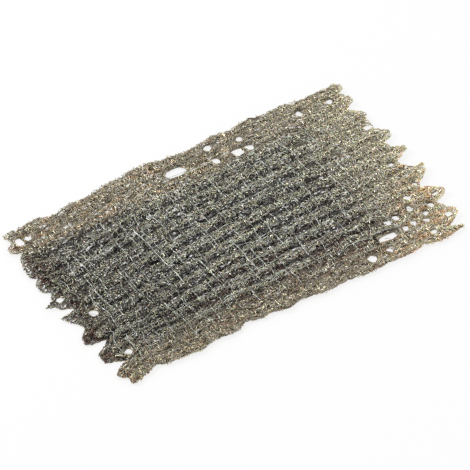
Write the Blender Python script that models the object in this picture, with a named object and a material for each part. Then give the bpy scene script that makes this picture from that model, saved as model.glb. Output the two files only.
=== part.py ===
"""Knitted steel scouring cloth: a tube of knitted wire, cut to length and pressed flat.

The loops of the two layers have caught in each other, so they are one wall here, with ropes of
loops along both its faces, rungs of wire across the grooves between them, and gaps through it.
The layers part at the cut ends, where each has tongues of its own. The cloth lies on its lower
ropes, with their flats at height 0. X runs along the ropes, Y across them, and the front is the
side with the lower Y.

The surface is a grid of rows along the cloth and columns across it. A place on the grid may lie
between two rows or columns, as it does on the rounded outline of a wide gap.
"""
import math

import bpy

MM = 0.001

# The cloth as a whole
LENGTH = 200 * MM          # between the lines that the tongues reach out from
WIDTH = 121 * MM           # between the two long edges, on average
THICKNESS = 3.8 * MM       # over the ropes, both layers
WEB = 1.5 * MM             # through the wall in a groove between two ropes
EDGE_BULGE = 0.8 * MM      # how far the fold of a long edge stands out, rounded

# Ropes of loops, which run along the cloth and bend towards the front at its left end
ROPES = 14
SLACK_ROPES = (0.45, 0.67)  # height of those beside a long edge, as a share of a full one's
GROOVE_SHARE = 0.22        # flat bottom of a groove, as a share of the rope pitch
CREST_SHARE = 0.40         # top of a rope, likewise
ROPE_SAG = 13 * MM         # how far a rope bends to the front at the left end
SAG_START = 44 * MM        # X of the place where the bend starts
SAG_SKEW = 1.3             # above 1 lets the ropes behind the middle bend most

# Courses, the rows of loops across the cloth
COURSE = 3.9 * MM          # two courses of the knit, and half the way from rung to rung
KNOT_HEIGHT = 0.5 * MM     # how far every second course stands proud on a rope
KNOT_SHIFT = 0.35 * MM     # how far the ropes swing from side to side at each course
RUNG_HEIGHT = 0.35 * MM    # how far the wires across a groove stand proud, every second course

# Long edges: place along the cloth from 0, left, to 1, right, and millimetres that each stands out
BACK_EDGE = ((0.0, 1.8), (0.03, 1.2), (0.08, 2.2), (0.13, 1.4), (0.22, 2.6), (0.30, 5.0),
             (0.34, 5.4), (0.385, 6.4), (0.43, 6.4), (0.48, 4.0), (0.54, 2.8), (0.65, 4.3),
             (0.76, 5.0), (0.84, 4.4), (0.90, 3.2), (1.0, 2.0))
FRONT_EDGE = ((0.0, -0.9), (0.05, -3.7), (0.085, -5.6), (0.11, -3.0), (0.16, -3.0), (0.20, -1.7),
              (0.24, -3.2), (0.31, -3.2), (0.35, -5.3), (0.41, -3.8), (0.46, -2.0), (0.50, -3.4),
              (0.58, -1.9), (0.65, -1.2), (0.79, -1.0), (0.86, -0.4), (0.92, -0.2), (1.0, -0.6))
EDGE_DEPTH = 4             # a higher power keeps an edge's waves closer to it

# Cut ends: place across the table from 0, front, to 1, back, and millimetres that the edge
# reaches past the end line there, with a tongue and a notch by turns
RIGHT_END = ((0.0, 0.1), (0.018, -0.4), (0.046, -10.0), (0.080, 0.8), (0.100, 1.6), (0.122, 1.4),
             (0.190, -4.4), (0.215, 3.6), (0.248, 3.9), (0.305, -5.4), (0.350, 1.0), (0.400, 5.8),
             (0.420, 5.0), (0.458, -5.0), (0.495, 3.0), (0.522, 4.4), (0.545, 3.4), (0.600, -2.0),
             (0.630, 4.0), (0.660, 4.4), (0.706, -1.4), (0.755, 1.4), (0.790, 1.5), (0.852, -4.8),
             (0.890, 1.2), (0.925, 1.4), (0.960, -1.4), (1.0, 1.8))
LEFT_END = ((0.0, -0.4), (0.05, -0.8), (0.075, 3.9), (0.100, 3.9), (0.143, -6.4), (0.170, 4.4),
            (0.225, 4.4), (0.278, -5.4), (0.300, 6.6), (0.335, 6.1), (0.383, -0.6), (0.440, 5.0),
            (0.475, 7.9), (0.502, -4.0), (0.530, 4.0), (0.563, 9.6), (0.590, 4.5), (0.632, 2.6),
            (0.660, 6.4), (0.700, 6.4), (0.738, 1.7), (0.770, 6.2), (0.820, 5.5), (0.889, 0.4),
            (0.915, 6.2), (0.945, 6.2), (0.978, 1.7), (1.0, 3.6))
TONGUE_DEPTH = 16 * MM     # how far from an end line the courses follow its outline
TONGUE_FADE = 1.5          # a higher power keeps the tongues closer to the end
LIP_ROWS = 2               # rows along which the two layers are parted at an end
LIP_GAP = 0.45 * MM        # between the layers, at the ends
LEFT_STEP = 5.0 * MM       # how far the upper layer stays behind the lower one, left end
RIGHT_STEP = 2.5 * MM      # how far the lower layer stays behind the upper one, right end
STEP_TONGUES = 0.45        # tongues of the layer that stays behind, as a share of the other's
TIP_RISE = 0.5 * MM        # how far the tongues curl up

# Wide gaps, where a loop has run: X and Y from the middle and size along and across, in millimetres
WIDE_GAPS = ((-97.5, 53.4, 4.4, 4.8), (-92.6, 53.8, 2.6, 2.8), (-4.4, 53.4, 9.5, 4.0),
             (18.1, 59.2, 3.2, 2.6), (17.4, 49.0, 3.0, 2.8), (35.8, 56.4, 3.0, 2.6),
             (30.3, 48.5, 3.6, 4.2), (37.5, 48.4, 3.4, 3.0), (72.2, 55.0, 2.4, 2.4),
             (90.7, 54.2, 2.8, 2.8), (97.1, 27.4, 2.4, 2.4), (-101.2, 8.5, 2.4, 2.2),
             (-91.7, -8.2, 3.2, 3.4), (-91.0, -39.3, 3.6, 3.4), (92.4, -2.0, 2.2, 2.2),
             (94.5, -20.5, 2.4, 2.2), (85.7, -25.8, 2.6, 2.6), (99.9, -30.6, 2.6, 2.4),
             (82.2, -33.0, 2.8, 3.0), (72.8, -35.0, 2.6, 2.8), (67.1, -35.6, 2.4, 2.6),
             (93.5, -36.9, 2.8, 2.6), (87.8, -40.5, 3.0, 2.8), (78.6, -43.0, 2.8, 2.6),
             (72.7, -44.3, 2.6, 2.4), (62.2, -44.3, 7.5, 2.8), (85.6, -44.7, 2.6, 2.4),
             (97.4, -47.1, 2.8, 2.4), (47.0, -52.5, 4.2, 4.0), (57.7, -52.3, 3.0, 3.0),
             (83.9, -53.5, 2.8, 2.6))
GAP_FILL = 0.75            # share of its width that the cells of a wide gap have to take at least
CORNER_PULL = 0.12         # how far a wide gap's corners are drawn in, as a share of a cell
SIDE_PUSH = 0.05           # how far its sides are pushed out, likewise
GAP_START_ROWS = 3         # rows from where the layers part to the first small gap of a groove
GAP_EVERY_ROWS = 5         # rows from one small gap of a groove to the next

STEEL = (0.20, 0.19, 0.165, 1.0)


def along_curve(points, place):
    """Reads a value off a smooth wave through the points (place, value)."""
    for (start, low), (end, high) in zip(points, points[1:]):
        if place <= end:
            turn = (1 - math.cos(math.pi * max(place - start, 0) / (end - start))) / 2
            return low + (high - low) * turn
    return points[-1][1]


def section():
    """Columns of the grid: place across from 0 to 1, relief from 0, groove, to 1, and its rope."""
    columns = [(0.0, 0.0, 0)]
    for rope in range(ROPES):
        from_edge = min(rope, ROPES - 1 - rope)
        if from_edge < len(SLACK_ROPES):
            steps = ((0.5, SLACK_ROPES[from_edge]), (1.0, 0.0))
        else:
            floor = GROOVE_SHARE / 2
            crest = (1 - CREST_SHARE) / 2
            steps = ((floor, 0.0), (crest, 1.0), (1 - crest, 1.0), (1 - floor, 0.0))
        if rope == len(SLACK_ROPES) - 1:
            steps = steps[:-1]
        columns += [((rope + step) / ROPES, relief, rope) for step, relief in steps]
    return columns


SECTION = section()
COLUMNS = len(SECTION) - 1
ROWS = round(LENGTH / COURSE)


def section_at(column):
    """Place across, relief and rope at a place between two columns."""
    low = min(int(column), COLUMNS - 1)
    share = column - low
    (across, relief, rope), (next_across, next_relief, _) = SECTION[low], SECTION[low + 1]
    return across + (next_across - across) * share, relief + (next_relief - relief) * share, rope


def odd_course(row, rope):
    """1 where a rope has a knot, 0 where it has none, and between them in between."""
    return (1 - math.cos(math.pi * (row + rope))) / 2


def tip_share(from_end):
    """Share of the outline of a cut end that a row follows."""
    near = 1 - from_end * LENGTH / ROWS / TONGUE_DEPTH
    return max(near, 0.0) ** TONGUE_FADE


def beside(y):
    """Place across the table at which the outlines of the ends are read."""
    return min(max(y / WIDTH + 0.5, 0.0), 1.0)


def end_reach(row, across, y, lower):
    """How far the tongues and notches of the two ends move a point along X."""
    left = along_curve(LEFT_END, beside(y)) * MM
    right = along_curve(RIGHT_END, beside(y)) * MM
    behind = math.sqrt(math.sin(math.pi * across))
    if lower:
        right = right * STEP_TONGUES - RIGHT_STEP * behind
    else:
        left = left * STEP_TONGUES - LEFT_STEP * behind
    return right * tip_share(ROWS - row) - left * tip_share(row)


def curl(row, y):
    """How far the tongues at the two ends lift off the table."""
    lift = 0.0
    for outline, from_end in ((LEFT_END, row), (RIGHT_END, ROWS - row)):
        furthest = max(value for _, value in outline)
        lift += TIP_RISE * max(0.0, along_curve(outline, beside(y))) / furthest * tip_share(from_end)
    return lift


def plan_place(row, column, lower):
    """X and Y of a grid place on the upper or the lower layer."""
    place = row / ROWS
    along = (place - 0.5) * LENGTH
    across, relief, rope = section_at(column)
    back = along_curve(BACK_EDGE, place) * MM * across ** EDGE_DEPTH
    front = along_curve(FRONT_EDGE, place) * MM * (1 - across) ** EDGE_DEPTH
    bend = ROPE_SAG * ((along - SAG_START) / (LENGTH / 2 + SAG_START)) ** 2
    sunk = bend * math.sin(math.pi * across ** SAG_SKEW)
    swing = KNOT_SHIFT * relief * (2 * odd_course(row, rope) - 1)
    y = (across - 0.5) * WIDTH + back - front - sunk + swing
    return along + end_reach(row, across, y, lower), y


def top_point(row, column):
    """A point of the upper face, with knots on the ropes and rungs across the grooves."""
    _, relief, rope = section_at(column)
    x, y = plan_place(row, column, lower=False)
    rope_top = (WEB + (THICKNESS - WEB) * relief) / 2
    dip = KNOT_HEIGHT * relief * odd_course(row, rope)
    rung = RUNG_HEIGHT * (1 - relief) * odd_course(row, 0)
    return x, y, THICKNESS / 2 + rope_top - dip + rung + curl(row, y)


def bottom_point(row, column):
    """A point of the lower face, with the full ropes flat at height 0."""
    relief = section_at(column)[1]
    x, y = plan_place(row, column, lower=True)
    rope_bottom = (WEB + (THICKNESS - WEB) * relief) / 2
    return x, y, THICKNESS / 2 - rope_bottom + curl(row, y)


def inner_point(row, column, side):
    """A point between the layers: side 1 is under the upper one, -1 on the lower one, 0 halfway."""
    upper = plan_place(row, column, lower=False)
    lower = plan_place(row, column, lower=True)
    x, y = [(a + b) / 2 + side * (a - b) / 2 for a, b in zip(upper, lower)]
    return x, y, THICKNESS / 2 + side * LIP_GAP / 2 + curl(row, y)


def edge_point(row, column):
    """A point on the rounded fold of a long edge."""
    x, y, z = inner_point(row, column, 0)
    return x, y + (EDGE_BULGE if column else -EDGE_BULGE), z


POINT_OF = {
    "top": top_point,
    "bottom": bottom_point,
    "edge": edge_point,
    "under": lambda row, column: inner_point(row, column, 1),
    "over": lambda row, column: inner_point(row, column, -1),
    "middle": lambda row, column: inner_point(row, column, 0),
}


class Gap:
    """A gap through the cloth: a block of cells, whose outline is rounded if it is a wide one."""

    def __init__(self, row, rows, column, columns, wide):
        self.row = min(max(row, LIP_ROWS - 1), ROWS - LIP_ROWS + 1 - rows)
        self.column = min(max(column, 1), COLUMNS - 1 - columns)
        self.last_row = self.row + rows
        self.last_column = self.column + columns
        self.wide = wide

    def cells(self, margin=0):
        """The cells that the gap takes, with this many more on each side."""
        return {(row, column) for row in range(self.row - margin, self.last_row + margin)
                for column in range(self.column - margin, self.last_column + margin)}

    def clear_of_slot(self):
        """Whether the gap lies where the layers are one wall, clear of where they part."""
        return LIP_ROWS < self.row and self.last_row < ROWS - LIP_ROWS

    def fits(self):
        """A gap may not end just where the layers part."""
        return self.clear_of_slot() or LIP_ROWS not in (self.row, ROWS - self.last_row)

    def outline(self):
        """Grid places round the gap, with one more in the middle of a wide gap's short sides."""
        corners = [(self.row, self.column), (self.last_row, self.column),
                   (self.last_row, self.last_column), (self.row, self.last_column)]
        places = []
        for (row, column), (end_row, end_column) in zip(corners, corners[1:] + corners[:1]):
            cells = abs(end_row - row) + abs(end_column - column)
            steps = 2 if self.wide and cells == 1 else cells
            places += [(row + (end_row - row) * step / steps,
                        column + (end_column - column) * step / steps) for step in range(steps)]
        return places

    def moves(self):
        """Where the places on a wide gap's outline go, to round it."""
        moves = {}
        for row, column in self.outline():
            up = (row == self.last_row) - (row == self.row)
            right = (column == self.last_column) - (column == self.column)
            shift = -CORNER_PULL if up and right else SIDE_PUSH
            moves[row, column] = (row + up * shift, column + right * shift)
        return moves


def nearest_cells(x, y, rows):
    """Row and column of the cells, this many in a row, whose middle is nearest to X and Y."""
    places = [(row, column) for row in range(ROWS - rows + 1) for column in range(COLUMNS)]
    middles = [plan_place(row + rows / 2, column + 0.5, lower=False) for row, column in places]
    return min(zip(middles, places), key=lambda found: math.dist(found[0], (x, y)))[1]


def wide_gaps():
    """The wide gaps, each on the cells nearest to its place."""
    gaps = []
    for x, y, length, width in WIDE_GAPS:
        rows = max(1, round(length * MM / COURSE))
        row, column = nearest_cells(x * MM, y * MM, rows)
        columns = 1
        while (SECTION[column + columns][0] - SECTION[column][0]) * WIDTH < width * MM * GAP_FILL:
            columns += 1
        gaps.append(Gap(row, rows, column, columns, wide=True))
    return gaps


def groove_gaps():
    """One-cell gaps along the grooves, those of each groove halfway between its neighbours'."""
    gaps = []
    for column in range(COLUMNS):
        if SECTION[column][1] == 0 and SECTION[column + 1][1] == 0:
            rope = SECTION[column + 1][2]
            start = LIP_ROWS + GAP_START_ROWS + rope * GAP_EVERY_ROWS // 2 % GAP_EVERY_ROWS
            end = ROWS - LIP_ROWS - GAP_START_ROWS
            gaps += [Gap(row, 1, column, 1, wide=False)
                     for row in range(start, end, GAP_EVERY_ROWS)]
    return gaps


def all_gaps():
    """The gaps that the cloth has. No two of them touch, not even at a corner."""
    gaps = []
    taken = set()
    for gap in wide_gaps() + groove_gaps():
        if gap.fits() and not gap.cells(margin=1) & taken:
            gaps.append(gap)
            taken |= gap.cells()
    return gaps


def parted(row, column):
    """Whether the two layers are apart at a grid place: near the ends, but not at the folds."""
    return min(row, ROWS - row) < LIP_ROWS and 1 < column < COLUMNS - 1


class Shell:
    """Points and faces of the closed surface, with one number for each point."""

    def __init__(self, gaps):
        self.points = []
        self.faces = []
        self.numbers = {}
        self.open = set().union(*(gap.cells() for gap in gaps))
        self.moves = {}
        for gap in gaps:
            if gap.wide:
                self.moves.update(gap.moves())

    def at(self, kind, row, column):
        """Number of a point: top, bottom, edge, under (the upper layer) or over (the lower one)."""
        if kind in ("under", "over") and not parted(row, column):
            kind = "edge" if column in (0, COLUMNS) else "middle"
        key = (kind, row, column)
        if key not in self.numbers:
            self.numbers[key] = len(self.points)
            self.points.append(POINT_OF[kind](*self.moves.get((row, column), (row, column))))
        return self.numbers[key]

    def face(self, *corners):
        """Adds a face, without the corners that fall together."""
        numbers = [self.at(*corner) for corner in corners]
        kept = [n for n, after in zip(numbers, numbers[1:] + numbers[:1]) if n != after]
        if len(kept) > 2:
            self.faces.append(kept)

    def wall(self, upper, lower, start, end):
        """A face between two heights along one side of a cell, seen from outside the material."""
        self.face((upper, *start), (upper, *end), (lower, *end), (lower, *start))

    def around(self, row, column):
        """Grid places round a cell, with those that a wide gap beside it adds."""
        corners = [(row, column), (row + 1, column), (row + 1, column + 1), (row, column + 1)]
        places = []
        for start, end in zip(corners, corners[1:] + corners[:1]):
            halfway = ((start[0] + end[0]) / 2, (start[1] + end[1]) / 2)
            places += [start, halfway] if halfway in self.moves else [start]
        return places


def add_faces(shell):
    """The upper and lower face, and the faces between the layers where they part."""
    for row in range(ROWS):
        for column in range(COLUMNS):
            if (row, column) in shell.open:
                continue
            places = shell.around(row, column)
            shell.face(*(("top", *place) for place in places))
            shell.face(*(("bottom", *place) for place in reversed(places)))
            if any(parted(*place) for place in places):
                shell.face(*(("over", *place) for place in places))
                shell.face(*(("under", *place) for place in reversed(places)))


def add_gap_walls(shell, gaps):
    """Walls round each gap, right through the cloth, or through each layer where they part."""
    for gap in gaps:
        places = gap.outline()
        for start, end in zip(places, places[1:] + places[:1]):
            if gap.clear_of_slot():
                shell.wall("top", "bottom", start, end)
            else:
                shell.wall("top", "under", start, end)
                shell.wall("over", "bottom", start, end)


def add_long_edges(shell):
    """The rounded folds along the front and the back."""
    for row in range(ROWS):
        front = ((row + 1, 0), (row, 0))
        back = ((row, COLUMNS), (row + 1, COLUMNS))
        for start, end in (front, back):
            shell.wall("top", "edge", start, end)
            shell.wall("edge", "bottom", start, end)


def add_cut_ends(shell):
    """The cut edge of each layer, at both ends."""
    for column in range(COLUMNS):
        left = ((0, column), (0, column + 1))
        right = ((ROWS, column + 1), (ROWS, column))
        for start, end in (left, right):
            shell.wall("top", "under", start, end)
            shell.wall("over", "bottom", start, end)


def steel():
    """Bare steel wire, dulled by use."""
    material = bpy.data.materials.new("steel_wire")
    material.use_nodes = True
    shader = material.node_tree.nodes["Principled BSDF"]
    shader.inputs["Base Color"].default_value = STEEL
    shader.inputs["Metallic"].default_value = 1.0
    shader.inputs["Roughness"].default_value = 0.45
    return material


def centred(points):
    """The points with the middle of their box over the origin and the lowest at height 0."""
    lows = [min(point[axis] for point in points) for axis in range(3)]
    highs = [max(point[axis] for point in points) for axis in range(3)]
    middle = ((lows[0] + highs[0]) / 2, (lows[1] + highs[1]) / 2, lows[2])
    return [tuple(value - shift for value, shift in zip(point, middle)) for point in points]


def knitted_cloth():
    """The whole cloth, as one closed body."""
    gaps = all_gaps()
    shell = Shell(gaps)
    add_faces(shell)
    add_gap_walls(shell, gaps)
    add_long_edges(shell)
    add_cut_ends(shell)
    mesh = bpy.data.meshes.new("knitted_cloth")
    mesh.from_pydata(centred(shell.points), [], shell.faces)
    mesh.materials.append(steel())
    cloth = bpy.data.objects.new("knitted_cloth", mesh)
    bpy.context.scene.collection.objects.link(cloth)
    return cloth


def main():
    for thing in list(bpy.data.objects):
        bpy.data.objects.remove(thing)
    knitted_cloth()


main()
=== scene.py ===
"""Draws the knitted steel scouring cloth as what it is: wire, knitted into a tube and pressed flat.

Every wire is a line of points, given by how far along the ropes of loops they lie, how far round
the tube, and how far out from its wall. One function lays all of them on the table, with the
cloth's outline, ropes and gaps, so that the wires of every kind keep together.

X runs along the ropes, Y across them, and the front is the side with the lower Y. Lengths are in
metres, in the frame of the CAD model, whose box they stay in.
"""
import math

import bpy
import numpy as np
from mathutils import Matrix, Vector


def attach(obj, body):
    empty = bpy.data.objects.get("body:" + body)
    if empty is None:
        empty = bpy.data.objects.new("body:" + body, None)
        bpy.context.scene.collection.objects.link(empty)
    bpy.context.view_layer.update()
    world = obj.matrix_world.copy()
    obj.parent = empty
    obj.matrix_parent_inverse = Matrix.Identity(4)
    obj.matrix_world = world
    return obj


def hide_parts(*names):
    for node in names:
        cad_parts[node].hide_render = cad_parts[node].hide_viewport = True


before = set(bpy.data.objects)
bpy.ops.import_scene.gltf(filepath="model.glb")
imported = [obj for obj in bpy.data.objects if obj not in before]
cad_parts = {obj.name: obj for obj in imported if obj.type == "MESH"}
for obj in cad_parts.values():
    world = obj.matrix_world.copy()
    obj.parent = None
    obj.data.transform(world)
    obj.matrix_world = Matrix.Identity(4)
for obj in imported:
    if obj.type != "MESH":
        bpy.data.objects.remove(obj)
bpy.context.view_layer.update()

bl_info = {
    "name": "Knitted Steel Scouring Cloth",
    "version": (1, 0, 0),
    "blender": (4, 5, 0),
    "location": "3D View > Sidebar > Scouring Cloth",
    "description": "Draws a knitted steel scouring cloth wire by wire, on a white table",
    "category": "Add Mesh",
}

MM = 0.001
CAD_NODE = "knitted_cloth"

# The cloth as a whole
CLOTH_LENGTH = 200 * MM        # between the lines that the tongues reach out from
CLOTH_WIDTH = 121 * MM         # between the two long edges, on average
CLOTH_THICKNESS = 3.8 * MM     # over the ropes, both layers
GROOVE_THICKNESS = 1.5 * MM    # over a groove between two ropes
MIDDLE = (1.92 * MM, -3.30 * MM)  # place in the frame of the middle between the end lines

# Ropes of loops, which run along the cloth and bend towards the front at its left end
ROPES = 14
ROPE_SAG = 13 * MM             # how far a rope bends to the front at the left end
SAG_START = 44 * MM            # X of the place where the bend starts
SAG_SKEW = 1.3                 # above 1 lets the ropes behind the middle bend most
ROPE_SHAPE = 0.3               # below 1 makes a rope's top wide and its grooves narrow
SLACK_RELIEF = 0.45            # height of the slackest rope, as a share of a full one's
SLACK_RELIEF_FROM = 0.30       # shares of the width from the middle at which ropes begin to sink
SLACK_RELIEF_TO = 0.46         # and at which they are down to that height
GROOVE_PULL = 1.02             # how far loops draw away from a groove, in radians of the ropes
GROOVE_RIM = 0.16              # how far from the groove they do so fully, likewise
SLACK_PULL = 0.6               # share of the pull that is gone where the cloth is slackest
UNEVEN_PULL = 0.5              # spread of the pull from place to place, as a share of it
UNEVEN_SIZE = 6 * MM           # size of those places
MOST_PULL = 1.3                # strongest pull, as a share of GROOVE_PULL
BUNCHING = 0.30 * MM           # how far wales draw together into the strands of a rope
BUNCHING_SLACK = 1.5           # how much further they do so where the cloth is slackest
BUNCHING_EDGE = 1.4            # how much further they do so beside the long edges
BUNCHING_FOLD = 6 * MM         # how near to a long edge they begin to do so less
STRAND_SIZE = 1.7 * MM         # half the usual way from one strand to the next
STRAND_STRETCH = 0.12          # width of a strand's swing, as a share of its length
RUNG_PITCH = 7.8 * MM          # from one wire across the ropes to the next
RUNG_HOLD = 0.6                # share of the pull that a rung takes
KNOT_DEPTH = 0.30 * MM         # how far a rope dips between two knots
FOLD_RADIUS = 2.5 * MM         # of a long edge, seen in plan
FOLD_BULGE = 0.6 * MM          # how far a long edge stands out past its line

# Long edges: place along the cloth from 0, left, to 1, right, and millimetres that each stands out
BACK_EDGE = ((0.0, 1.8), (0.03, 1.2), (0.08, 2.2), (0.13, 1.4), (0.22, 2.6), (0.30, 5.0),
             (0.34, 5.4), (0.385, 6.4), (0.43, 6.4), (0.48, 4.0), (0.54, 2.8), (0.65, 4.3),
             (0.76, 5.0), (0.84, 4.4), (0.90, 3.2), (1.0, 2.0))
FRONT_EDGE = ((0.0, -0.9), (0.05, -3.7), (0.085, -5.6), (0.11, -3.0), (0.16, -3.0), (0.20, -1.7),
              (0.24, -3.2), (0.31, -3.2), (0.35, -5.3), (0.41, -3.8), (0.46, -2.0), (0.50, -3.4),
              (0.58, -1.9), (0.65, -1.2), (0.79, -1.0), (0.86, -0.4), (0.92, -0.2), (1.0, -0.6))
EDGE_DEPTH = 4                 # a higher power keeps an edge's waves closer to it

# Cut ends: place across the cloth from 0, front, to 1, back, and millimetres that the edge
# reaches past the end line there, with a tongue and a notch by turns
RIGHT_END = ((0.0, 0.2), (0.016, -0.8), (0.030, -8.0), (0.060, -14.0), (0.078, -2.0),
             (0.090, 1.0), (0.108, 1.2), (0.135, -0.6), (0.160, -1.8), (0.193, -4.6),
             (0.202, -3.0), (0.211, 3.6), (0.232, 4.6), (0.252, 1.6), (0.276, -0.8),
             (0.284, -4.0), (0.312, -5.6), (0.328, -3.6), (0.345, 1.4), (0.362, 4.6),
             (0.404, 6.2), (0.412, 4.0), (0.420, 0.6), (0.452, -4.4), (0.486, -4.2),
             (0.497, 2.0), (0.512, 4.8), (0.532, 4.8), (0.546, 2.4), (0.553, -0.8),
             (0.602, -2.0), (0.613, -0.6), (0.626, 4.4), (0.650, 4.6), (0.672, 0.8),
             (0.704, -1.8), (0.735, 0.0), (0.768, 0.9), (0.788, 2.9), (0.812, 0.2),
             (0.848, -4.2), (0.870, -3.2), (0.893, 2.2), (0.918, 2.6), (0.936, 0.9),
             (0.956, -0.9), (0.978, 2.4), (1.0, 2.2))
LEFT_END = ((0.0, -0.4), (0.05, -0.8), (0.070, 3.3), (0.094, 3.3), (0.118, -2.0), (0.140, -6.4),
            (0.151, -2.0), (0.164, 4.6), (0.225, 4.4), (0.245, 1.0), (0.276, -5.4), (0.286, -2.0),
            (0.296, 7.2), (0.335, 7.0), (0.356, 4.0), (0.378, -0.8), (0.410, 2.0), (0.440, 5.0),
            (0.470, 7.4), (0.484, 4.0), (0.498, -2.6), (0.512, 0.0), (0.526, 4.0), (0.545, 5.6),
            (0.560, 10.2), (0.585, 5.0), (0.625, 3.0), (0.660, 6.8), (0.695, 6.6), (0.730, 1.5),
            (0.748, 6.0), (0.800, 6.4), (0.850, 3.4), (0.890, 0.2), (0.908, 6.2), (0.940, 6.2),
            (0.970, 1.7), (1.0, 3.6))
TONGUE_DEPTH = 16 * MM         # how far from the end line the loops follow its outline
TONGUE_FADE = 1.5              # a higher power keeps the tongues closer to the end
LEFT_STEP = 5.0 * MM           # how far the upper layer stays behind the lower one, left end
RIGHT_STEP = 2.5 * MM          # how far the lower layer stays behind the upper one, right end
STEP_TONGUES = 0.45            # tongues of the layer that stays behind, as a share of the other's
TIP_RISE = 0.5 * MM            # how far a tongue of this length curls up
TIP_LENGTH = 6 * MM

# Wide gaps, where a loop has run: X and Y from the middle and size along and across, in millimetres
WIDE_GAPS = ((-97.8, 54.1, 3.8, 4.2), (-93.0, 54.4, 2.6, 2.6), (-4.4, 53.4, 9.2, 4.2),
             (18.8, 59.4, 3.2, 2.8), (17.9, 49.4, 3.2, 3.6), (36.5, 56.5, 2.8, 2.8),
             (30.7, 48.9, 4.8, 4.2), (38.0, 48.6, 3.4, 3.0), (73.0, 55.6, 2.8, 3.0),
             (91.6, 54.6, 3.0, 3.2), (97.5, 27.2, 3.6, 3.0), (-101.2, 8.5, 2.6, 2.4),
             (-91.7, -8.4, 3.8, 3.4), (-91.0, -39.9, 3.6, 3.0), (92.4, -2.0, 2.6, 2.6),
             (94.5, -20.5, 2.8, 3.0), (85.7, -26.4, 2.6, 2.4), (99.0, -31.8, 2.4, 2.2),
             (82.2, -33.8, 2.6, 2.8), (72.6, -35.4, 2.8, 3.0), (67.1, -36.4, 2.6, 2.6),
             (93.0, -37.2, 2.8, 3.0), (87.8, -40.7, 2.8, 2.8), (78.4, -43.1, 2.6, 2.4),
             (72.5, -44.4, 2.4, 2.4), (61.9, -44.3, 8.6, 3.0), (85.0, -44.9, 2.6, 2.8),
             (97.4, -47.3, 3.4, 2.6), (46.8, -52.7, 4.0, 3.6), (57.5, -53.0, 2.6, 2.4),
             (83.7, -53.7, 2.6, 2.4))
GAP_SQUARE = 2.5               # 2 makes a gap an ellipse, and more squares it off
GAP_RIM = 3.0                  # a higher power keeps the loops that a gap pushes aside closer to it
GAP_EXTRA = (0.4, 1.2)         # millimetres that a slanting view hides of a gap, each way
GAP_PASSES = 2                 # gaps are opened this often, because one pushes wires into the next
GAP_CUT = 0.85                 # share of a gap's size in which no wire is left
GAP_THIN = 0.55                # share of the cloth's height that is gone at the rim of a gap
GAP_THIN_REACH = 1.8           # how far from the middle of a gap that fades out, in gap sizes

# How slack the cloth is, up to 1
SLACK_EDGES = 0.65             # along the two long edges
SLACK_RIGHT = 0.72             # at the right end
SLACK_CORNER = 0.4             # and so much more in the right front corner

# Where the grooves are weak though the cloth is tight: share of the pull that is gone
CALM_BACK = 0.6                # behind the middle
CALM_ENDS = 0.75               # at both ends

# Tan flecks and painted brown shade on the wire, as shares of the strongest
TAN_ROPE = 52.8 * MM           # Y of a rope's top in the back strip, where tan is strongest
TAN_GROOVE = 0.35              # tan in the grooves there
TAN_BACK_LOSS = 0.8            # share of it that is gone in the right half of the back strip
TAN_FRONT = 0.5                # tan along the front edge
TAN_TIP_LOSS = 0.6             # share of it that is gone at the tips of the right end
BROWN_SHADE_FRONT = 0.6              # painted brown shade in the front half
BROWN_SHADE_RIGHT_LOSS = 0.75        # share of it that is gone towards the right end
BROWN_SHADE_LEFT = 0.75              # painted brown shade and warm reflection at the left end

# Painted light and shade by depth: 1 where a wire lies on top of the cloth and is painted as lit,
# and 0 where it is sunk and painted dark as shade
PAINTED_LIGHT_FROM = 0.7 * MM         # height over or under the cloth's middle at which that starts
PAINTED_LIGHT_TO = 1.5 * MM           # and is complete
PAINTED_LIGHT_LEFT_LOSS = 0.3         # share of it that is gone in the left half
OPEN_SLACK = 0.7               # how far sunk wires have it too, where the cloth is slackest
OPEN_CALM = 0.7                # where its grooves are weakest
OPEN_LEFT = 0.5                # at the left end
OPEN_CORNERS = 0.3             # and so much more in the two right corners
OPEN_FRONT = 0.12              # along the front edge
OPEN_HEM = 0.25                # and on the front edge's fold
GAP_RIM_LIGHT = 0.75               # how far the wire at the rim of a wide gap takes the paler colour of slack wire, as painted light against the shade there

# Random waves that carry the fabric from side to side
DRIFT = 0.35 * MM
DRIFT_SIZE = 9 * MM
DRIFT_WAVES = 14
DRIFT_LENGTHS = (1.4, 2.8)     # shortest and longest wave, in sizes of a hill
SEED = 466

CROWDING_POWER = 9             # a higher power draws wires together only nearer to the ends
NEARLY_UP = (0.0, 0.03, 1.0)   # where flat sides face; off upright, for wires that stand upright

# Sockets of a colour mix node, by number because the node has others with the same names
SHARE, FIRST, SECOND, MIXED = 0, 6, 7, 2


def linear(hex_colour):
    """Scene-linear red, green, blue and 1 from an sRGB colour such as #8a8578."""
    values = [int(hex_colour[i:i + 2], 16) / 255 for i in (1, 3, 5)]
    return [v / 12.92 if v <= 0.04045 else ((v + 0.055) / 1.055) ** 2.4 for v in values] + [1.0]


# Settings that a user would change

def colour_setting(name, hex_colour, description):
    """A colour in a group of settings."""
    return bpy.props.FloatVectorProperty(
        name=name, default=linear(hex_colour), size=4, subtype="COLOR", min=0, max=1,
        description=description)


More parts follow.
